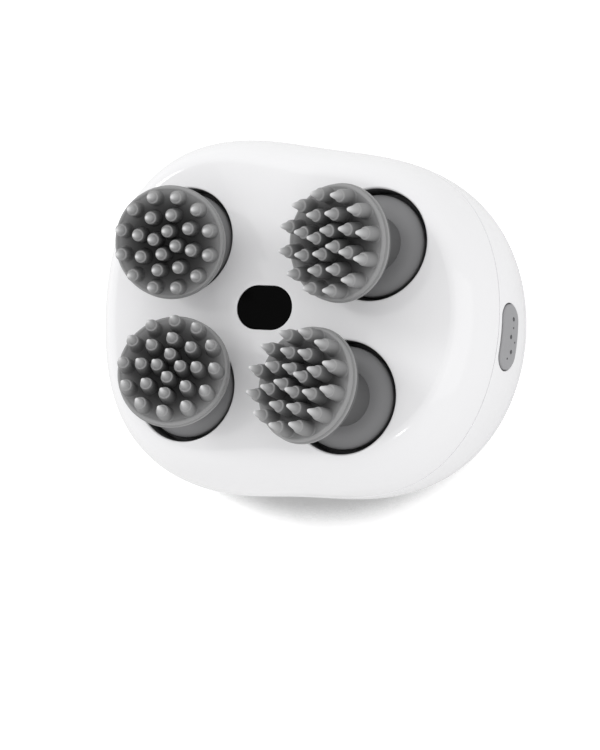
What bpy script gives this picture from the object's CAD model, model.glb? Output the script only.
from math import acos, asin, atan2, cos, degrees, hypot, pi, radians, sin, sqrt

import bpy
import bmesh
from mathutils import Matrix, Vector
from mathutils.geometry import delaunay_2d_cdt


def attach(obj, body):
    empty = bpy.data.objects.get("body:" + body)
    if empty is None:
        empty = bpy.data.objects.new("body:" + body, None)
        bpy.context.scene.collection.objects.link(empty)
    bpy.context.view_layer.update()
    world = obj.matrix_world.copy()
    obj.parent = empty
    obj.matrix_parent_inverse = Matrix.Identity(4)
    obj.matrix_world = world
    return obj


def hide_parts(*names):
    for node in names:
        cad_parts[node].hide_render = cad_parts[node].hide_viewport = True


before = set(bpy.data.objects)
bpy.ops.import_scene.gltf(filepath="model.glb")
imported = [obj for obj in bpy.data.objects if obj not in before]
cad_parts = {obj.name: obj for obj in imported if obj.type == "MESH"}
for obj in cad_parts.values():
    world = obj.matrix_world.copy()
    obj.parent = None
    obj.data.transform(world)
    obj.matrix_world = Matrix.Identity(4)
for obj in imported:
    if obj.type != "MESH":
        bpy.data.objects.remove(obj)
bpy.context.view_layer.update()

# ---------------------------------------------------------------------------------------
# Front casing: the glossy white upper shell, one plastic moulding with a flat face, a
# rounded shoulder, four wells for the turning heads and a seat for the window. It ends
# in a rounded lip at the arched parting line, on the gasket.
# ---------------------------------------------------------------------------------------

# lengths are millimetres until a mesh is made from them, and those of the studio are metres
FACE, GIRTH = 56.0, 28.2       # heights of the flat face and of the widest outline
SHOULDER, POWER = 13.0, 1.8    # how far the rounded shoulder reaches in, and how full it is
BACK_DRAW = 0.62               # the share of its reach by which the back draws in


def outline(turn):
    """Reach of the widest outline, at an angle in radians from +X."""
    return (59.75 + 1.79 * sin(turn) + 5.96 * cos(2 * turn) - 2.11 * cos(4 * turn)
            - 1.07 * sin(2 * turn) + 1.91 * cos(3 * turn))


turns = [radians(step) for step in range(360)]
spread_x = [outline(turn) * cos(turn) for turn in turns]
spread_y = [outline(turn) * sin(turn) for turn in turns]
MIDDLE = Vector((-(max(spread_x) + min(spread_x)) / 2, -(max(spread_y) + min(spread_y)) / 2, 0))
DRIVE = MIDDLE + Vector((0, 2.5, 0))    # the heads stand round it


def form(turn, dip, skin=0.0):
    """A point of the casing, or of a surface inside it by a skin.

    The dip is 0 at the face, 90 at the widest outline and 180 at the flat of the back.
    """
    if dip <= 90:
        inset = SHOULDER * (1 - sin(radians(dip)) ** (2 / POWER))
        height = GIRTH + (FACE - GIRTH - skin) * max(0.0, cos(radians(dip))) ** (2 / POWER)
        reach = outline(turn) - inset - skin
    else:
        share = 1 - BACK_DRAW * (1 - cos(radians(dip - 90)))
        height = GIRTH - (GIRTH - skin) * sin(radians(dip - 90))
        reach = outline(turn) * share - skin
    return MIDDLE + Vector((reach * cos(turn), reach * sin(turn), height))


def dip_at_inset(inset):
    """Dip at which the shoulder lies this far inside the widest outline."""
    return degrees(asin((1 - inset / SHOULDER) ** (POWER / 2)))


def form_normal(turn, dip):
    """Unit step straight out of the casing."""
    step = 0.01
    along = form(turn + step, dip) - form(turn - step, dip)
    down = form(turn, min(180.0, dip + 0.5)) - form(turn, max(0.0, dip - 0.5))
    return down.cross(along).normalized()


def face_height(x, y):
    """Height of the upper surface over a point, for points inside the widest outline."""
    turn = atan2(y - MIDDLE.y, x - MIDDLE.x)
    inset = outline(turn) - hypot(x - MIDDLE.x, y - MIDDLE.y)
    if inset >= SHOULDER:
        return FACE
    fall = 1 - (1 - inset / SHOULDER) ** POWER
    return GIRTH + (FACE - GIRTH) * max(0.0, fall) ** (1 / POWER)


def face_normal(x, y):
    """Unit step straight out of the upper surface, over a point."""
    step = 0.05
    slope_x = (face_height(x + step, y) - face_height(x - step, y)) / (2 * step)
    slope_y = (face_height(x, y + step) - face_height(x, y - step)) / (2 * step)
    return Vector((-slope_x, -slope_y, 1)).normalized()


ARCH_DROP, ARCH_RISE = 24.0, 13.5    # of the parting line: below the face, and from middle to end


def parting_height(x):
    """Height of the arched parting line, which is lowest at mid length."""
    half = outline(0)
    radius = (half * half + ARCH_RISE * ARCH_RISE) / (2 * ARCH_RISE)
    return FACE - ARCH_DROP + radius - sqrt(radius * radius - x * x)


def dip_at_parting(turn, shift):
    """Dip at which the casing is this far above the parting line."""
    low, high = 20.0, 120.0
    for _ in range(40):
        mid = (low + high) / 2
        point = form(turn, mid)
        if point.z > parting_height(point.x) + shift:
            low = mid
        else:
            high = mid
    return mid


class Skin:
    """A surface gathered from strips and patches, with its own exact normals."""

    def __init__(self):
        self.points, self.normals, self.faces = [], [], []

    def strip(self, rows, normals):
        """Closed rows of points, each joined to the next by faces."""
        base, width = len(self.points), len(rows[0])
        for row, row_normals in zip(rows, normals):
            self.points += row
            self.normals += row_normals
        for r in range(len(rows) - 1):
            for c in range(width):
                a, b = base + r * width + c, base + r * width + (c + 1) % width
                self.faces.append((a, a + width, b + width, b))

    def patch(self, points, normals, faces):
        """Points with faces of their own."""
        base = len(self.points)
        self.points += points
        self.normals += normals
        self.faces += [tuple(base + v for v in face) for face in faces]

    def object(self, name):
        """The finished piece in metres, each face turned the way that its normals point."""
        faces, zero = [], Vector((0, 0, 0))
        for face in self.faces:
            corners = [self.points[v] for v in face]
            side = sum((a.cross(b) for a, b in zip(corners, corners[1:] + corners[:1])), zero)
            if side.dot(sum((self.normals[v] for v in face), zero)) < 0:
                face = tuple(reversed(face))
            faces.append(face)
        mesh = bpy.data.meshes.new(name)
        mesh.from_pydata([point / 1000 for point in self.points], [], faces)
        mesh.validate()
        mesh.shade_smooth()
        mesh.normals_split_custom_set_from_vertices([normal[:] for normal in self.normals])
        obj = bpy.data.objects.new(name, mesh)
        bpy.context.collection.objects.link(obj)
        return obj


def circle(centre, radius, count):
    """Evenly spaced points round a circle, anticlockwise."""
    return [centre + Vector((radius * cos(2 * pi * k / count), radius * sin(2 * pi * k / count), 0))
            for k in range(count)]


def stadium(centre, length, width, count):
    """Evenly spaced points round a stadium that lies along X, anticlockwise."""
    radius, half = width / 2, (length - width) / 2
    total = 4 * half + 2 * pi * radius
    loop = []
    for k in range(count):
        way = total * k / count
        if way < half:
            point = (way, -radius)
        elif way < half + pi * radius:
            bend = (way - half) / radius - pi / 2
            point = (half + radius * cos(bend), radius * sin(bend))
        elif way < 3 * half + pi * radius:
            point = (half - (way - half - pi * radius), radius)
        elif way < 3 * half + 2 * pi * radius:
            bend = (way - 3 * half - pi * radius) / radius + pi / 2
            point = (-half + radius * cos(bend), radius * sin(bend))
        else:
            point = (-half + (way - 3 * half - 2 * pi * radius), -radius)
        loop.append(centre + Vector((point[0], point[1], 0)))
    return loop


EDGE_STEPS = 6


def lining(skin, loop, normals, inward, down, edge, depth):
    """The rounded edge and straight wall of a hole that starts at a loop on the skin."""
    rows, row_normals = [], []
    for k in range(EDGE_STEPS + 1):
        bend = pi / 2 * k / EDGE_STEPS
        rows.append([p + edge * (sin(bend) * i + (1 - cos(bend)) * down) for p, i in zip(loop, inward)])
        if k == 0:
            row_normals.append(list(normals))
        else:
            row_normals.append([cos(bend) * -down + sin(bend) * i for i in inward])
    rows.append([p + edge * i + depth * down for p, i in zip(loop, inward)])
    row_normals.append(list(inward))
    skin.strip(rows, row_normals)


def inwards(loop, centre):
    """Unit steps that point into a loop, square to it."""
    count = len(loop)
    steps = []
    for k in range(count):
        along = loop[(k + 1) % count] - loop[k - 1]
        side = Vector((-along.y, along.x, 0)).normalized()
        steps.append(side if side.dot(centre - loop[k]) > 0 else -side)
    return steps


WELL_RADIUS, WELL_EDGE, WELL_FLOOR = 15.5, 0.5, 48.2
HEAD_TURNS = {"upper_right": 31.65, "upper_left": 148.35, "lower_left": 225.2, "lower_right": -45.2}
HEAD_REACH = 34.0
HEADS = {name: DRIVE + Vector((HEAD_REACH * cos(radians(turn)), HEAD_REACH * sin(radians(turn)), 0))
         for name, turn in HEAD_TURNS.items()}
WELL_POINTS = 144
WINDOW = DRIVE + Vector((-1.45, -0.6, 0))
SEAT_LENGTH, SEAT_WIDTH, SEAT_EDGE, SEAT_DEPTH, SEAT_POINTS = 16.9, 12.5, 0.15, 2.4, 112
RIM_INSET = 9.0
COLUMNS = 360

front = Skin()

# the face with its five holes, down to a little way over the shoulder
rim = [form(turn, dip_at_inset(RIM_INSET)) for turn in turns]
holes = [circle(at, WELL_RADIUS + WELL_EDGE, WELL_POINTS) for at in HEADS.values()]
holes.append(stadium(WINDOW, SEAT_LENGTH + 2 * SEAT_EDGE, SEAT_WIDTH + 2 * SEAT_EDGE, SEAT_POINTS))
flat_points, flat_edges = [], []
for loop in [rim] + holes:
    base = len(flat_points)
    flat_points += [Vector((p.x, p.y)) for p in loop]
    flat_edges += [(base + k, base + (k + 1) % len(loop)) for k in range(len(loop))]


def in_hole(x, y, margin=0.0):
    """Whether a point of the face lies in a hole, or nearer to one than the margin."""
    for at in HEADS.values():
        if hypot(x - at.x, y - at.y) < WELL_RADIUS + WELL_EDGE + margin:
            return True
    past_straight = max(0.0, abs(x - WINDOW.x) - (SEAT_LENGTH - SEAT_WIDTH) / 2)
    return hypot(past_straight, y - WINDOW.y) < SEAT_WIDTH / 2 + SEAT_EDGE + margin


GRID_STEP, GRID_RINGS, GRID_TURN, GRID_COLUMNS = 0.5, 9, 1.5, 240
for ring in range(1, GRID_RINGS + 1):
    for column in range(GRID_COLUMNS):
        turn = radians(GRID_TURN * column)
        reach = outline(turn) - (RIM_INSET + GRID_STEP * ring)
        x, y = MIDDLE.x + reach * cos(turn), MIDDLE.y + reach * sin(turn)
        if not in_hole(x, y, margin=0.25):
            flat_points.append(Vector((x, y)))
found, _, triangles, _, _, _ = delaunay_2d_cdt(flat_points, flat_edges, [], 1, 1e-6)
kept = []
for tri in triangles:
    centre = sum((found[v] for v in tri), Vector((0, 0))) / len(tri)
    if not in_hole(centre.x, centre.y):
        kept.append(tuple(tri))
front.patch([Vector((p.x, p.y, face_height(p.x, p.y))) for p in found],
            [face_normal(p.x, p.y) for p in found], kept)

LIP, LIP_STEPS, LIP_LAND, HALF_GAP = 0.25, 5, 1.6, 0.12


def rolled_lip(edge, out, upwards):
    """Rows of the round lip that a casing ends in, and of the land behind it, with their normals."""
    rows, row_normals = [], []
    around = [edge[(k + 1) % COLUMNS] - edge[k - 1] for k in range(COLUMNS)]
    onward = [a.cross(n).normalized() for a, n in zip(around, out)]
    onward = [step if (step.z > 0) == upwards else -step for step in onward]
    for k in range(1, LIP_STEPS + 1):
        bend = pi / 2 * k / LIP_STEPS
        rows.append([p + LIP * ((cos(bend) - 1) * n + sin(bend) * o) for p, n, o in zip(edge, out, onward)])
        row_normals.append([cos(bend) * n + sin(bend) * o for n, o in zip(out, onward)])
    rows.append([p - LIP_LAND * n for p, n in zip(rows[-1], out)])
    row_normals.append(onward)
    return rows, row_normals


# the shoulder, from that rim down to the parting line, and the lip rolled in under it
rows, row_normals = [], []
SHOULDER_STEPS = 40
edge_dips = [dip_at_parting(turn, HALF_GAP + LIP) for turn in turns]
start = dip_at_inset(RIM_INSET)
for k in range(SHOULDER_STEPS + 1):
    dips = [start + (edge - start) * (k / SHOULDER_STEPS) for edge in edge_dips]
    rows.append([form(turn, dip) for turn, dip in zip(turns, dips)])
    row_normals.append([form_normal(turn, dip) for turn, dip in zip(turns, dips)])
lip_rows, lip_normals = rolled_lip(rows[-1], row_normals[-1], upwards=False)
front.strip(rows + lip_rows, row_normals + lip_normals)

# the white edges of the wells, and the window's seat
UP, DOWN = Vector((0, 0, 1)), Vector((0, 0, -1))
WHITE_EDGE = 0.9
for at, hole in zip(HEADS.values(), holes):
    loop = [Vector((p.x, p.y, face_height(p.x, p.y))) for p in hole]
    inward = [(Vector((at.x, at.y, 0)) - Vector((p.x, p.y, 0))).normalized() for p in loop]
    lining(front, loop, [face_normal(p.x, p.y) for p in loop], inward, DOWN, WELL_EDGE, WHITE_EDGE)
loop = [Vector((p.x, p.y, FACE)) for p in holes[-1]]
lining(front, loop, [UP] * len(loop), inwards(loop, WINDOW), DOWN, SEAT_EDGE, SEAT_DEPTH)

# inner face of the shell behind the shoulder, seen only through the parting gap
WALL, INNER_TOP_DIP, INNER_STEPS = 2.2, 30.0, 8
rows, row_normals = [], []
inner_turns = turns[::4]
for k in range(INNER_STEPS + 1):
    dips = [INNER_TOP_DIP + (dip_at_parting(turn, 0.3) - 0.5 - INNER_TOP_DIP) * k / INNER_STEPS
            for turn in inner_turns]
    rows.append([form(turn, dip, WALL) for turn, dip in zip(inner_turns, dips)])
    row_normals.append([-form_normal(turn, dip) for turn, dip in zip(inner_turns, dips)])
front.strip(rows, row_normals)

front_casing = front.object("front_casing_shell")


def grain_group():
    """Slow and fine mottling of a colour and a roughness, and a fine relief, in metres."""
    group = bpy.data.node_groups.new("moulded_grain", "ShaderNodeTree")
    for name, kind in [("Colour", "NodeSocketColor"), ("Shade", "NodeSocketColor"),
                       ("Mottle", "NodeSocketFloat"), ("Roughness", "NodeSocketFloat"),
                       ("Spread", "NodeSocketFloat"), ("Grain size", "NodeSocketFloat")]:
        group.interface.new_socket(name, in_out="INPUT", socket_type=kind)
    for name, kind in [("Base Color", "NodeSocketColor"), ("Roughness", "NodeSocketFloat"),
                       ("Height", "NodeSocketFloat")]:
        group.interface.new_socket(name, in_out="OUTPUT", socket_type=kind)
    nodes, links = group.nodes, group.links
    given, result = nodes.new("NodeGroupInput"), nodes.new("NodeGroupOutput")
    place = nodes.new("ShaderNodeTexCoord")
    slow, fine = nodes.new("ShaderNodeTexNoise"), nodes.new("ShaderNodeTexNoise")
    slow.inputs["Scale"].default_value = 45.0
    slow.inputs["Detail"].default_value = 3.0
    fine.inputs["Detail"].default_value = 4.0
    fine.inputs["Roughness"].default_value = 0.6
    links.new(place.outputs["Object"], slow.inputs["Vector"])
    links.new(place.outputs["Object"], fine.inputs["Vector"])
    links.new(given.outputs["Grain size"], fine.inputs["Scale"])
    both = nodes.new("ShaderNodeMath")
    both.operation = "MULTIPLY_ADD"
    both.inputs[1].default_value = 0.5
    links.new(slow.outputs["Fac"], both.inputs[0])
    half = nodes.new("ShaderNodeMath")
    half.operation = "MULTIPLY"
    half.inputs[1].default_value = 0.5
    links.new(fine.outputs["Fac"], half.inputs[0])
    links.new(half.outputs[0], both.inputs[2])
    amount = nodes.new("ShaderNodeMath")
    amount.operation = "MULTIPLY"
    links.new(both.outputs[0], amount.inputs[0])
    links.new(given.outputs["Mottle"], amount.inputs[1])
    blend = nodes.new("ShaderNodeMix")
    blend.data_type = "RGBA"
    links.new(amount.outputs[0], blend.inputs["Factor"])
    links.new(given.outputs["Colour"], blend.inputs[6])
    links.new(given.outputs["Shade"], blend.inputs[7])
    rough = nodes.new("ShaderNodeMath")
    rough.operation = "MULTIPLY_ADD"
    links.new(both.outputs[0], rough.inputs[0])
    links.new(given.outputs["Spread"], rough.inputs[1])
    links.new(given.outputs["Roughness"], rough.inputs[2])
    links.new(blend.outputs[2], result.inputs["Base Color"])
    links.new(rough.outputs[0], result.inputs["Roughness"])
    links.new(fine.outputs["Fac"], result.inputs["Height"])
    return group


GRAIN = grain_group()


def moulded(name, colour, shade, mottle, roughness, spread, grain, relief, **shader):
    """A material with mottled colour and roughness and a fine relief.

    Colour goes over to shade by the mottle, roughness rises by up to the spread, and the
    grain's size and the relief's height are in millimetres.
    """
    material = bpy.data.materials.new(name)
    material.use_nodes = True
    nodes, links = material.node_tree.nodes, material.node_tree.links
    bsdf = nodes["Principled BSDF"]
    group = nodes.new("ShaderNodeGroup")
    group.node_tree = GRAIN
    group.inputs["Colour"].default_value = (*colour, 1)
    group.inputs["Shade"].default_value = (*shade, 1)
    group.inputs["Mottle"].default_value = mottle
    group.inputs["Roughness"].default_value = roughness
    group.inputs["Spread"].default_value = spread
    group.inputs["Grain size"].default_value = 1000 / grain
    bump = nodes.new("ShaderNodeBump")
    bump.inputs["Strength"].default_value = 1.0
    bump.inputs["Distance"].default_value = relief / 1000
    links.new(group.outputs["Base Color"], bsdf.inputs["Base Color"])
    links.new(group.outputs["Roughness"], bsdf.inputs["Roughness"])
    links.new(group.outputs["Height"], bump.inputs["Height"])
    links.new(bump.outputs["Normal"], bsdf.inputs["Normal"])
    for socket, value in shader.items():
        bsdf.inputs[socket.replace("_", " ")].default_value = value
    return material


def fit(piece, material, body, slot, *nodes):
    """Gives a piece its material, body and finish slot, and the CAD nodes that it stands for."""
    piece.data.materials.clear()
    piece.data.materials.append(material)
    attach(piece, body)
    if nodes:
        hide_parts(*nodes)


white_gloss = moulded("white_gloss_casing", (0.905, 0.903, 0.915), (0.865, 0.863, 0.875),
                      0.5, 0.10, 0.06, 0.6, 0.0006, Coat_Weight=0.6, Coat_Roughness=0.04, IOR=1.5)
fit(front_casing, white_gloss, "housing", "casing", "front_casing")

# ---------------------------------------------------------------------------------------
# Back casing: the white lower shell that wraps up round the ends, a plastic moulding with
# the button's hole, the charging socket's hole and four screw wells. It lies on its small
# flat, and screws in the wells hold it to the front.
# ---------------------------------------------------------------------------------------
back = Skin()
back_dips = [dip_at_parting(turn, -HALF_GAP - LIP) for turn in turns]


def back_dip(turn):
    """Dip of the back casing's upper edge, between the steps at which it is worked out."""
    place = degrees(turn) % 360.0
    low = int(place) % 360
    share = place - int(place)
    return back_dips[low] * (1 - share) + back_dips[(low + 1) % 360] * share


def inset_at(height):
    """How far the shoulder lies inside the widest outline at a height."""
    level = max(0.0, (height - GIRTH) / (FACE - GIRTH)) ** POWER
    return SHOULDER * (1 - (1 - level) ** (1 / POWER))


def on_skin(point, outward):
    """Where a line along outward through a point meets the end wall: its turn, dip and place."""
    low, high = -6.0, 6.0
    for _ in range(40):
        mid = (low + high) / 2
        at = point + mid * outward
        turn = atan2(at.y - MIDDLE.y, at.x - MIDDLE.x)
        reach = hypot(at.x - MIDDLE.x, at.y - MIDDLE.y)
        if reach > outline(turn) - inset_at(at.z):
            high = mid
        else:
            low = mid
    dip = degrees(acos(min(1.0, ((at.z - GIRTH) / (FACE - GIRTH))) ** (POWER / 2)))
    return turn, dip, at


def wall_frame(side, drop, y):
    """Origin, outward step and the step up the wall, on an end wall."""
    slope = (inset_at(FACE - drop + 1) - inset_at(FACE - drop - 1)) / 2
    outward = Vector((side, 0, slope)).normalized()
    reach = outline(0 if side > 0 else pi) - inset_at(FACE - drop)
    upward = Vector((-slope * side, 0, 1)).normalized()
    return Vector((MIDDLE.x + side * reach, y, FACE - drop)), outward, upward


def wall_loop(wall, length, width, count):
    """A stadium along Y on an end wall, as (turn, dip, point) for each point of it."""
    origin, outward, upward = wall
    flat = stadium(Vector((0, 0, 0)), length, width, count)
    return [on_skin(origin + Vector((0, p.x, 0)) + p.y * upward, outward) for p in flat]


WALL_DROP, WALL_Y = 18.0, -3.4    # of the button and the socket: below the face, and across
BUTTON_WALL = wall_frame(1, WALL_DROP, WALL_Y)
SOCKET_WALL = wall_frame(-1, WALL_DROP, WALL_Y)
BUTTON_LENGTH, BUTTON_WIDTH, BUTTON_GAP, BUTTON_POINTS = 18.0, 8.5, 0.3, 120
SOCKET_LENGTH, SOCKET_WIDTH, SOCKET_POINTS = 9.0, 3.3, 80
BUTTON_HOLE_DEPTH, SOCKET_HOLE_DEPTH, SCREW_WELL_DEPTH = 3.4, 8.0, 22.0
SCREW_TURNS, SCREW_INSET, SCREW_WELL_RADIUS, SCREW_POINTS = (50, 130, 250, 290), 7.5, 2.7, 48
HOLE_EDGE = 0.25
hole_margin = 2 * BUTTON_GAP + 2 * HOLE_EDGE
button_loop = wall_loop(BUTTON_WALL, BUTTON_LENGTH + hole_margin, BUTTON_WIDTH + hole_margin, BUTTON_POINTS)
socket_loop = wall_loop(SOCKET_WALL, SOCKET_LENGTH + 2 * HOLE_EDGE, SOCKET_WIDTH + 2 * HOLE_EDGE,
                        SOCKET_POINTS)
screw_centres, screw_loops = [], []
for step in SCREW_TURNS:
    reach = outline(radians(step)) - SCREW_INSET
    centre = MIDDLE + Vector((reach * cos(radians(step)), reach * sin(radians(step)), 0))
    loop = []
    for p in circle(centre, SCREW_WELL_RADIUS + HOLE_EDGE, SCREW_POINTS):
        turn = atan2(p.y - MIDDLE.y, p.x - MIDDLE.x)
        share = hypot(p.x - MIDDLE.x, p.y - MIDDLE.y) / outline(turn)
        dip = 90 + degrees(acos(1 - (1 - share) / BACK_DRAW))
        loop.append((turn, dip, form(turn, dip)))
    screw_centres.append(centre)
    screw_loops.append(loop)

SEAM = pi / 2             # the patch's seam lies on the +Y side, away from the holes
WIDE, TALL = 60.0, 0.55   # of the flattened skin, per radian of turn and per degree of dip
ROWS, CUT_MARGIN = 60, 0.3


def flatten(turn, dip):
    """Place of a point of the skin on the flattened patch."""
    turn = (turn - SEAM) % (2 * pi)
    return Vector((turn * WIDE, dip * TALL))


cut_loops = [button_loop, socket_loop] + screw_loops
cut_flat = [[flatten(turn, dip) for turn, dip, _ in loop] for loop in cut_loops]
grid_points, grid_edges = [], []
upper = [Vector((radians(k) * WIDE, back_dip(SEAM + radians(k)) * TALL)) for k in range(361)]
bottom = [Vector((radians(k) * WIDE, 180 * TALL)) for k in range(360, -1, -1)]
seam_top = back_dip(SEAM)
left = [Vector((0, seam_top * TALL + (180 - seam_top) * TALL * k / ROWS)) for k in range(ROWS - 1, 0, -1)]
right = [Vector((2 * pi * WIDE, p.y)) for p in reversed(left)]
border = upper + right + bottom + left
for loop in [border] + cut_flat:
    base = len(grid_points)
    grid_points += loop
    grid_edges += [(base + k, base + (k + 1) % len(loop)) for k in range(len(loop))]


def inside(point, loop):
    """Whether a point lies in a closed loop."""
    hit = False
    for k in range(len(loop)):
        a, b = loop[k - 1], loop[k]
        if (a.y > point.y) != (b.y > point.y):
            if point.x < (b.x - a.x) * (point.y - a.y) / (b.y - a.y) + a.x:
                hit = not hit
    return hit


boxes = [(min(p.x for p in loop), max(p.x for p in loop), min(p.y for p in loop), max(p.y for p in loop))
         for loop in cut_flat]


def near_cut(point, margin):
    """Whether a point lies in one of the cuts, or nearer to one than the margin."""
    for loop, (x0, x1, y0, y1) in zip(cut_flat, boxes):
        if x0 - margin < point.x < x1 + margin and y0 - margin < point.y < y1 + margin:
            if inside(point, loop) or min((p - point).length for p in loop) < margin:
                return True
    return False


for column in range(1, GRID_COLUMNS):
    turn = radians(GRID_TURN * column)
    first = back_dip(SEAM + turn)
    for row in range(1, ROWS):
        point = Vector((turn * WIDE, (first + (180 - first) * row / ROWS) * TALL))
        if not near_cut(point, CUT_MARGIN):
            grid_points.append(point)
found, _, triangles, _, _, _ = delaunay_2d_cdt(grid_points, grid_edges, [], 1, 1e-6)
kept = []
for tri in triangles:
    centre = sum((found[v] for v in tri), Vector((0, 0))) / len(tri)
    if not any(x0 < centre.x < x1 and y0 < centre.y < y1 and inside(centre, loop)
               for loop, (x0, x1, y0, y1) in zip(cut_flat, boxes)):
        kept.append(tuple(reversed(tri)))
places = [(SEAM + p.x / WIDE, min(180.0, p.y / TALL)) for p in found]
back.patch([form(turn, dip) for turn, dip in places], [form_normal(turn, dip) for turn, dip in places], kept)
back.patch([form(turn, 180) for turn in turns], [DOWN] * COLUMNS, [tuple(range(COLUMNS - 1, -1, -1))])

# its lip at the parting line, rolled in
edge = [form(turn, dip) for turn, dip in zip(turns, back_dips)]
out = [form_normal(turn, dip) for turn, dip in zip(turns, back_dips)]
lip_rows, lip_normals = rolled_lip(edge, out, upwards=True)
back.strip(([edge] + lip_rows)[::-1], ([out] + lip_normals)[::-1])


def wall_inwards(points, wall):
    """Unit steps along an end wall that point into a loop on it."""
    origin, outward, _ = wall
    count = len(points)
    steps = []
    for k in range(count):
        along = points[(k + 1) % count] - points[k - 1]
        side = along.cross(outward).normalized()
        steps.append(side if side.dot(origin - points[k]) > 0 else -side)
    return steps


# the walls of its holes
for loop, wall, depth in ((button_loop, BUTTON_WALL, BUTTON_HOLE_DEPTH),
                          (socket_loop, SOCKET_WALL, SOCKET_HOLE_DEPTH)):
    points = [p for _, _, p in loop]
    normals = [form_normal(turn, dip) for turn, dip, _ in loop]
    lining(back, points, normals, wall_inwards(points, wall), -wall[1], HOLE_EDGE, depth)
for loop, centre in zip(screw_loops, screw_centres):
    points = [p for _, _, p in loop]
    inward = [(Vector((centre.x, centre.y, 0)) - Vector((p.x, p.y, 0))).normalized() for p in points]
    normals = [form_normal(turn, dip) for turn, dip, _ in loop]
    lining(back, points, normals, inward, UP, HOLE_EDGE, SCREW_WELL_DEPTH)

back_casing = back.object("back_casing_shell")
fit(back_casing, white_gloss, "housing", "casing", "back_casing")

# ---------------------------------------------------------------------------------------
# Parting gasket: a thin band of black rubber, laid between the two casings, that shows as
# a fine dark line. The dust seals round the four shafts are of the same rubber.
# ---------------------------------------------------------------------------------------
black_rubber = moulded("black_rubber", (0.10, 0.10, 0.105), (0.07, 0.07, 0.07), 0.6, 0.5, 0.2, 0.3, 0.01)


def finish_nodes(material, *names):
    """Gives carried-over CAD pieces a material."""
    for name in names:
        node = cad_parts[name]
        for slot in node.material_slots:
            slot.material = material


finish_nodes(black_rubber, "parting_gasket", *[f"shaft_seal_{name}" for name in HEADS])

# ---------------------------------------------------------------------------------------
# Well linings: the black wall and floor of each well, a thin rubber liner set in below the
# white edge, so the running gap round the turntable reads as a clean dark ring.
# ---------------------------------------------------------------------------------------
linings = Skin()
LINING_TOP, SHAFT_HOLE_RADIUS = FACE - WHITE_EDGE + 0.05, 4.1
spokes = [Vector((cos(turn), sin(turn), 0)) for turn in turns[::3]]
for at in HEADS.values():
    rows, row_normals = [], []
    for radius, height, is_wall in ((WELL_RADIUS, LINING_TOP, True), (WELL_RADIUS, WELL_FLOOR, True),
                                    (WELL_RADIUS, WELL_FLOOR, False), (SHAFT_HOLE_RADIUS, WELL_FLOOR, False)):
        rows.append([Vector((at.x, at.y, height)) + radius * spoke for spoke in spokes])
        row_normals.append([-spoke if is_wall else UP for spoke in spokes])
    linings.strip(rows[:2], row_normals[:2])
    linings.strip(rows[2:], row_normals[2:])
well_linings = linings.object("well_linings")
fit(well_linings, black_rubber, "housing", "gasket")

# ---------------------------------------------------------------------------------------
# Window: a black gloss lens of tinted plastic with a fine bevel round its edge. It is let
# into the seat in the middle of the face and lies flush with it.
# ---------------------------------------------------------------------------------------
lens = Skin()
LENS_LENGTH, LENS_WIDTH, LENS_POINTS = 16.74, 12.34, 112
rows, row_normals = [], []

# inset from the outline, height over the face, and tilt of the surface in degrees
profile = [(0.0, -1.5, 0), (0.0, -0.30, 0), (0.03, -0.16, 25), (0.10, -0.07, 50), (0.22, -0.02, 75),
           (0.40, 0.0, 90)]
for inset, height, tilt in profile:
    loop = stadium(WINDOW, LENS_LENGTH - 2 * inset, LENS_WIDTH - 2 * inset, LENS_POINTS)
    rows.append([Vector((p.x, p.y, FACE + height)) for p in loop])
    row_normals.append([(-i * cos(radians(tilt)) + UP * sin(radians(tilt))).normalized()
                        for i in inwards(loop, WINDOW)])
lens.strip(rows, row_normals)
lens.patch(rows[-1], [UP] * LENS_POINTS, [tuple(range(LENS_POINTS))])
window_lens = lens.object("window_lens_piece")
black_gloss = moulded("black_gloss_lens", (0.002, 0.002, 0.002), (0.003, 0.003, 0.003),
                      0.5, 0.16, 0.06, 0.5, 0.0004, Specular_IOR_Level=0.03)
fit(window_lens, black_gloss, "housing", "lens", "window_lens")

# ---------------------------------------------------------------------------------------
# Turntables: each head stands on a shallow dome that turns in its well with a thin black
# gap round it. A satin grey plastic moulding, in one with the shaft that it turns on.
# ---------------------------------------------------------------------------------------


def lathe(name, profile, segments=96):
    """A turned piece about Z from (radius, height) points in millimetres."""
    mesh = bpy.data.meshes.new(name)
    verts, faces = [], []
    for radius, height in profile:
        for k in range(segments):
            bend = 2 * pi * k / segments
            verts.append((radius * cos(bend) / 1000, radius * sin(bend) / 1000, height / 1000))
    for r in range(len(profile) - 1):
        for k in range(segments):
            a, b = r * segments + k, r * segments + (k + 1) % segments
            faces.append((a, b, b + segments, a + segments))
    if profile[0][0] > 0:
        faces.append(tuple(reversed(range(segments))))
    if profile[-1][0] > 0:
        last = (len(profile) - 1) * segments
        faces.append(tuple(range(last, last + segments)))
    mesh.from_pydata(verts, [], faces)
    work = bmesh.new()
    work.from_mesh(mesh)
    bmesh.ops.remove_doubles(work, verts=work.verts, dist=1e-6)
    bmesh.ops.recalc_face_normals(work, faces=work.faces)
    work.to_mesh(mesh)
    work.free()
    mesh.shade_smooth()
    mesh.set_sharp_from_angle(angle=radians(40))
    obj = bpy.data.objects.new(name, mesh)
    bpy.context.collection.objects.link(obj)
    return obj


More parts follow.
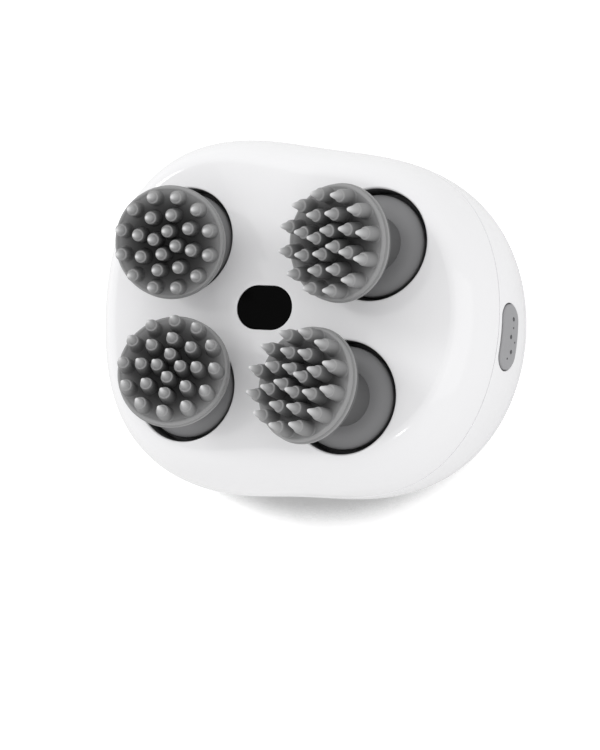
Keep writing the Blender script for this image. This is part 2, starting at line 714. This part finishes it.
DOME_REACH, DOME_EDGE, DOME_RISE, DOME_RUN, DOME_STEPS = 13.85, 53.88, 1.5, 6.0, 12
dome = [(0.0, 28.0), (3.0, 28.0), (3.0, 40.5), (4.0, 40.5), (4.0, 49.7), (13.7, 49.7), (14.0, 49.9),
        (14.1, 50.2), (14.1, 53.3), (14.08, 53.5), (14.0, 53.7), (DOME_REACH, DOME_EDGE)]
for k in range(1, DOME_STEPS + 1):
    way = k / DOME_STEPS
    dome.append((DOME_REACH - DOME_RUN * way, DOME_EDGE + DOME_RISE * (1 - (1 - way) ** 2.4)))
dome.append((0.0, DOME_EDGE + DOME_RISE))
table_grey = moulded("grey_turntable", (0.23, 0.23, 0.235), (0.19, 0.19, 0.195),
                     0.5, 0.38, 0.12, 0.25, 0.004)
for name, at in HEADS.items():
    table = lathe(f"turntable_dome_{name}", dome)
    table.data.transform(Matrix.Translation(at / 1000))
    fit(table, table_grey, f"head_{name}", "turntable", f"turntable_{name}")

# ---------------------------------------------------------------------------------------
# Head stems: a leaning neck that flares into the round plate under each pad. Stiff grey
# plastic, moulded in one, with its foot sunk into the turntable.
# ---------------------------------------------------------------------------------------
LEAN, PIVOT = 17.0, 54.5    # degrees off upright, and the height at which the lean starts
LEANS_TO = {"upper_right": 212, "upper_left": 318, "lower_left": 41, "lower_right": 160}
PAD_HEIGHT, PAD_THICKNESS, PLATE_THICKNESS = 17.0, 2.8, 1.6
PAD_TOP = PAD_HEIGHT / cos(radians(LEAN))
PAD_BASE = PAD_TOP - PAD_THICKNESS
PLATE_BASE = PAD_BASE - PLATE_THICKNESS


def head_frame(name):
    """From a head's own frame, Z along its stem from the pivot, to the shared frame, in metres."""
    place = Matrix.Translation(Vector((HEADS[name].x, HEADS[name].y, PIVOT)) / 1000)
    return place @ Matrix.Rotation(radians(LEANS_TO[name]), 4, "Z") @ Matrix.Rotation(radians(LEAN), 4, "Y")


stem_profile = [(0.0, -1.9), (7.9, -1.9), (8.0, -1.0), (8.0, 3.0), (7.95, 6.0), (7.95, 10.0), (8.0, 11.0)]
stem_profile += [(8.2, 12.0), (8.6, 12.7), (9.1, 13.15), (9.8, PLATE_BASE), (14.5, PLATE_BASE)]
stem_profile += [(14.8, PLATE_BASE + 0.08), (14.97, PLATE_BASE + 0.3), (15.0, PLATE_BASE + 0.6)]
stem_profile += [(15.0, PAD_BASE - 0.1), (14.9, PAD_BASE), (0.0, PAD_BASE)]
stem_grey = moulded("grey_stem", (0.12, 0.12, 0.122), (0.10, 0.10, 0.102), 0.5, 0.42, 0.12, 0.25, 0.004)
for name in HEADS:
    stem = lathe(f"head_neck_{name}", stem_profile)
    stem.data.transform(head_frame(name))
    fit(stem, stem_grey, f"head_{name}", "head_carrier", f"head_stem_{name}")

# ---------------------------------------------------------------------------------------
# Massage pads: soft grey silicone, a disc with a double lip and three rings of blunt
# two-stage nodes that flow into the disc. Each pad is one moulding, pressed onto its plate.
# ---------------------------------------------------------------------------------------

# radius and height over the plate
pad_profile = [(0.0, 0.0), (15.0, 0.0), (15.5, 0.08), (15.7, 0.3), (15.75, 0.65), (15.66, 0.95),
               (15.24, 1.12), (15.12, 1.25), (15.3, 1.42), (15.44, 1.65), (15.5, 1.95), (15.45, 2.35),
               (15.28, 2.65), (15.0, 2.8), (14.65, 2.76), (14.42, 2.6), (14.1, 2.52)]
pad_profile += [(radius, 2.52) for radius in (13, 11.5, 10, 8, 6, 4, 2, 0)]
pad_profile = [(radius, PAD_BASE + height) for radius, height in pad_profile]

# radius and height over the disc
node_profile = [(2.6, -0.32), (2.38, -0.27), (2.18, -0.1), (2.05, 0.2), (1.99, 0.7), (1.96, 1.4), (1.93, 2.1),
                (1.88, 2.9), (1.8, 3.6), (1.7, 4.0), (1.58, 4.22), (1.45, 4.33), (1.33, 4.36), (1.28, 4.5),
                (1.2, 5.0), (1.08, 5.5), (0.95, 6.0), (0.81, 6.5), (0.68, 7.0), (0.57, 7.37), (0.44, 7.67),
                (0.27, 7.87), (0.0, 7.94)]
silicone = moulded("grey_silicone", (0.74, 0.74, 0.745), (0.66, 0.66, 0.665),
                   0.55, 0.42, 0.16, 0.35, 0.006, Subsurface_Weight=0.05,
                   Subsurface_Radius=(0.002, 0.002, 0.002), Specular_IOR_Level=0.22)

# the colour is darkened between the nodes, by the painted value "pale" of each point
nodes, links = silicone.node_tree.nodes, silicone.node_tree.links
paleness, tone = nodes.new("ShaderNodeAttribute"), nodes.new("ShaderNodeMix")
paleness.attribute_name = "pale"
tone.data_type = "RGBA"
tone.blend_type = "MULTIPLY"
tone.inputs["Factor"].default_value = 1.0
shade = nodes.new("ShaderNodeMapRange")
shade.inputs["To Min"].default_value = 0.03
shade.inputs["To Max"].default_value = 1.0
links.new(paleness.outputs["Fac"], shade.inputs["Value"])
links.new(nodes["Group"].outputs["Base Color"], tone.inputs[6])
links.new(shade.outputs["Result"], tone.inputs[7])
links.new(tone.outputs[2], nodes["Principled BSDF"].inputs["Base Color"])
LEDGE_RISE, TIP_RUN, PAD_REACH, DISC_REACH = 4.2, 3.8, 15.0, 14.6


def pale_at(reach, rise):
    """How pale the silicone is, by the distance from the pad's middle and the height over its disc."""
    if rise >= LEDGE_RISE:
        return 0.46 + 0.54 * ((rise - LEDGE_RISE) / TIP_RUN) ** 2
    if rise > 0.1:
        return 0.04 + 0.03 * rise + 0.22 * (reach / PAD_REACH) ** 2
    return 0.42 * min(1.0, (reach / DISC_REACH) ** 5)


RINGS = ((12, 12.7, 68), (8, 7.75, 83), (4, 3.25, 128))    # count, radius and first angle of the nodes
PRESSED_ON_AT = {"upper_right": 0.0, "upper_left": -9.5, "lower_left": 13.0, "lower_right": 0.0}
for name in HEADS:
    pad = lathe(f"massage_pad_piece_{name}", pad_profile, segments=128)
    work = bmesh.new()
    work.from_mesh(pad.data)
    for count, radius, first in RINGS:
        for step in range(count):
            bend = radians(PRESSED_ON_AT[name] + first + 360 * step / count)
            node = lathe("node", node_profile, segments=28)
            place = Vector((radius * cos(bend), radius * sin(bend), PAD_TOP))
            node.data.transform(Matrix.Translation(place / 1000))
            work.from_mesh(node.data)
            spent = node.data
            bpy.data.objects.remove(node)
            bpy.data.meshes.remove(spent)
    work.to_mesh(pad.data)
    work.free()
    pale = pad.data.attributes.new("pale", "FLOAT", "POINT")
    for vertex, value in zip(pad.data.vertices, pale.data):
        value.value = pale_at(hypot(vertex.co.x, vertex.co.y) * 1000, vertex.co.z * 1000 - PAD_TOP)
    pad.data.transform(head_frame(name))
    fit(pad, silicone, f"head_{name}", "silicone", f"massage_pad_{name}")

# ---------------------------------------------------------------------------------------
# Side button: a soft grey rubber pill with a rounded edge that follows the end wall, in a
# hole with a narrow gap round it. It is one moulding with a skirt behind the wall, and it
# slides straight in when it is pressed.
# ---------------------------------------------------------------------------------------
button = Skin()
origin, outward, upward = BUTTON_WALL
rows, row_normals = [], []
BUTTON_PROUD, BUTTON_ROUND = 0.4, 0.55

# inset from the outline, height over the outer face, and tilt of the surface in degrees
shapes = [(0.0, -3.6, 0), (0.0, -0.5, 0), (0.05, -0.25, 20), (0.16, -0.1, 45), (0.34, -0.02, 70),
          (BUTTON_ROUND, 0.0, 90)]
for inset, height, tilt in shapes:
    loop = wall_loop(BUTTON_WALL, BUTTON_LENGTH - 2 * inset, BUTTON_WIDTH - 2 * inset, BUTTON_POINTS)
    points = [p for _, _, p in loop]
    rows.append([p + (BUTTON_PROUD + height) * outward for p in points])
    row_normals.append([(-i * cos(radians(tilt)) + outward * sin(radians(tilt))).normalized()
                        for i in wall_inwards(points, BUTTON_WALL)])
button.strip(rows, row_normals)

# its outer face, as loops that close in on its middle line
face_rows, face_normals = rows[-1:], row_normals[-1:]
face_width = BUTTON_WIDTH - 2 * BUTTON_ROUND
for share in (0.8, 0.6, 0.4, 0.2, 0.02):
    loop = wall_loop(BUTTON_WALL, BUTTON_LENGTH - BUTTON_WIDTH + face_width * share,
                     max(0.2, face_width * share), BUTTON_POINTS)
    face_rows.append([p + BUTTON_PROUD * outward for _, _, p in loop])
    face_normals.append([form_normal(turn, dip) for turn, dip, _ in loop])
button.strip(face_rows, face_normals)
button.patch(face_rows[-1], face_normals[-1], [tuple(range(BUTTON_POINTS))])
button_pad = button.object("button_pad_piece")
button_grey = moulded("button_grey", (0.36, 0.36, 0.37), (0.30, 0.30, 0.31), 0.5, 0.5, 0.15, 0.25, 0.01)
fit(button_pad, button_grey, "button", "button", "button_pad")

# plain raised dots on the button, three large ones and three small ones
dot_grey = moulded("button_dot_grey", (0.07, 0.07, 0.075), (0.05, 0.05, 0.05), 0.5, 0.45, 0.15, 0.25, 0.005)
dot_profile = [(0.0, -0.3), (1.0, -0.3), (1.0, 0.0), (0.85, 0.045), (0.5, 0.06), (0.0, 0.065)]
LARGE_DOT, SMALL_DOT = 0.62, 0.32
DOTS = ((5.0, -0.9, LARGE_DOT), (0.0, 0.1, LARGE_DOT), (-4.0, -0.9, LARGE_DOT),
        (2.6, -1.0, SMALL_DOT), (-1.2, -2.4, SMALL_DOT), (-6.0, 0.6, SMALL_DOT))
for k, (along, up, size) in enumerate(DOTS):
    turn, dip, at = on_skin(origin + Vector((0, along, 0)) + up * upward, outward)
    scaled = [(radius * size, height) for radius, height in dot_profile]
    dot = lathe(f"button_dot_{k + 1}", scaled, segments=32)
    facing = form_normal(turn, dip).to_track_quat("Z", "Y").to_matrix().to_4x4()
    dot.data.transform(Matrix.Translation((at + BUTTON_PROUD * outward) / 1000) @ facing)
    fit(dot, dot_grey, "button", "button")

# ---------------------------------------------------------------------------------------
# Working parts inside: acetal gears on steel axles between two black gearbox plates, and
# the motor, battery and circuit boards. They are carried over from CAD as they are, in
# plain materials, because the closed casing hides them.
# ---------------------------------------------------------------------------------------
acetal = moulded("natural_acetal", (0.78, 0.76, 0.70), (0.70, 0.68, 0.62), 0.5, 0.35, 0.1, 0.3, 0.004)
black_plate = moulded("black_plate", (0.035, 0.035, 0.04), (0.05, 0.05, 0.05), 0.5, 0.45, 0.15, 0.3, 0.01)
steel = moulded("bright_steel", (0.60, 0.60, 0.62), (0.50, 0.50, 0.52),
                0.4, 0.25, 0.15, 0.15, 0.003, Metallic=1.0)
bronze = moulded("sintered_bronze", (0.55, 0.36, 0.16), (0.42, 0.28, 0.14),
                 0.6, 0.4, 0.2, 0.1, 0.01, Metallic=1.0)
board_green = moulded("board_green", (0.02, 0.14, 0.05), (0.03, 0.10, 0.05), 0.6, 0.3, 0.2, 0.8, 0.01)
sleeve_blue = moulded("battery_sleeve", (0.05, 0.12, 0.32), (0.04, 0.10, 0.26), 0.4, 0.3, 0.15, 0.5, 0.01)
finish_nodes(acetal, "central_gear", "reduction_gear", *[f"head_gear_{name}" for name in HEADS])
finish_nodes(black_plate, "gearbox_top_plate", "gearbox_bottom_plate", "gearbox_pillars")
finish_nodes(steel, "gearbox_screws", "casing_screws", "central_axle", "reduction_axle", "motor",
             "motor_shaft", "charging_socket")
finish_nodes(bronze, "motor_pinion", *[f"shaft_bush_{name}" for name in HEADS])
finish_nodes(board_green, "light_board", "main_board", "switch_board")
finish_nodes(sleeve_blue, "battery")

# ---------------------------------------------------------------------------------------
# Studio: a flat floor of white paper under a white sky, a soft key lamp at the upper left,
# a broad fill at the right, a small edge light, and the camera. It is for pictures only.
# ---------------------------------------------------------------------------------------
FLOOR_REACH = 3
ground = bpy.data.meshes.new("floor")
ground.from_pydata([(x * FLOOR_REACH, y * FLOOR_REACH, 0) for x, y in ((-1, -1), (1, -1), (1, 1), (-1, 1))],
                   [], [(0, 1, 2, 3)])
floor = bpy.data.objects.new("floor", ground)
bpy.context.collection.objects.link(floor)
paper = bpy.data.materials.new("white_paper")
paper.use_nodes = True
nodes, links = paper.node_tree.nodes, paper.node_tree.links
nodes.remove(nodes["Principled BSDF"])
result = nodes["Material Output"]
ray = nodes.new("ShaderNodeLightPath")
matt = nodes.new("ShaderNodeBsdfDiffuse")
matt.inputs["Color"].default_value = (0.85, 0.85, 0.85, 1)

# how open each point of the floor is towards +X and +Y: it is less open close to the casing
# on the far side from these, and that darkens the paper there like a small soft shadow
near = nodes.new("ShaderNodeAmbientOcclusion")
near.samples = 32
near.inputs["Distance"].default_value = 0.035
toward = nodes.new("ShaderNodeCombineXYZ")
for axis, value in zip("XYZ", (0.42, 0.65, 0.63)):
    toward.inputs[axis].default_value = value
links.new(toward.outputs[0], near.inputs["Normal"])
open_share = nodes.new("ShaderNodeMapRange")
open_share.inputs["From Min"].default_value = 0.44
open_share.inputs["From Max"].default_value = 0.56
open_share.inputs["To Min"].default_value = 0.42
open_share.inputs["To Max"].default_value = 1.0
links.new(near.outputs["AO"], open_share.inputs["Value"])

# the camera sees the floor lifted to white by some glow, and other rays see plain paper
pale = nodes.new("ShaderNodeMath")
pale.operation = "MULTIPLY"
pale.inputs[1].default_value = 0.9
links.new(open_share.outputs["Result"], pale.inputs[0])
lit = nodes.new("ShaderNodeBsdfDiffuse")
links.new(pale.outputs[0], lit.inputs["Color"])
glow = nodes.new("ShaderNodeEmission")
glow.inputs["Strength"].default_value = 0.35
links.new(open_share.outputs["Result"], glow.inputs["Color"])
bright = nodes.new("ShaderNodeAddShader")
links.new(lit.outputs[0], bright.inputs[0])
links.new(glow.outputs[0], bright.inputs[1])
either_ray = nodes.new("ShaderNodeMath")
either_ray.operation = "MAXIMUM"
links.new(ray.outputs["Is Camera Ray"], either_ray.inputs[0])
links.new(ray.outputs["Is Transmission Ray"], either_ray.inputs[1])
either = nodes.new("ShaderNodeMixShader")
links.new(either_ray.outputs[0], either.inputs["Fac"])
links.new(matt.outputs[0], either.inputs[1])
links.new(bright.outputs[0], either.inputs[2])
links.new(either.outputs[0], result.inputs["Surface"])
ground.materials.append(paper)

# a white backdrop for the camera, and a slightly dimmer sky that lights the piece
world = bpy.data.worlds.new("studio")
bpy.context.scene.world = world
world.use_nodes = True
nodes, links = world.node_tree.nodes, world.node_tree.links
sky = nodes["Background"]
sky.inputs["Color"].default_value = (1, 1, 1, 1)
sky.inputs["Strength"].default_value = 0.87
backdrop = nodes.new("ShaderNodeBackground")
backdrop.inputs["Color"].default_value = (1, 1, 1, 1)
backdrop.inputs["Strength"].default_value = 1.0
ray = nodes.new("ShaderNodeLightPath")
either = nodes.new("ShaderNodeMixShader")
links.new(ray.outputs["Is Camera Ray"], either.inputs["Fac"])
links.new(sky.outputs[0], either.inputs[1])
links.new(backdrop.outputs[0], either.inputs[2])
links.new(either.outputs[0], nodes["World Output"].inputs["Surface"])


def lamp(name, at, aim, size, power):
    """A square soft light in metres, aimed at a point."""
    light = bpy.data.lights.new(name, "AREA")
    light.size = size
    light.energy = power
    holder = bpy.data.objects.new(name, light)
    holder.location = at
    holder.rotation_euler = (Vector(aim) - Vector(at)).to_track_quat("-Z", "Y").to_euler()
    bpy.context.collection.objects.link(holder)


AIM = (0, 0, 0.04)
lamp("key", (-0.72, 0.36, 0.64), AIM, 0.30, 2.0)
lamp("fill", (0.82, 0.0, 0.61), AIM, 1.0, 1.25)
lamp("edge light", (0.22, -0.57, 0.83), AIM, 0.10, 0.3)

eye = bpy.data.cameras.new("camera")
eye.sensor_fit = "VERTICAL"
eye.sensor_height = 36
eye.lens = 69.2
camera = bpy.data.objects.new("camera", eye)
camera.matrix_world = (Matrix.Translation((0.1669, -0.0488, 0.4170)) @ Matrix.Rotation(radians(23.56), 4, "Y")
                       @ Matrix.Rotation(radians(4.39), 4, "X") @ Matrix.Rotation(radians(5.25), 4, "Z"))
bpy.context.collection.objects.link(camera)
bpy.context.scene.camera = camera
bpy.context.scene.view_settings.view_transform = "Standard"
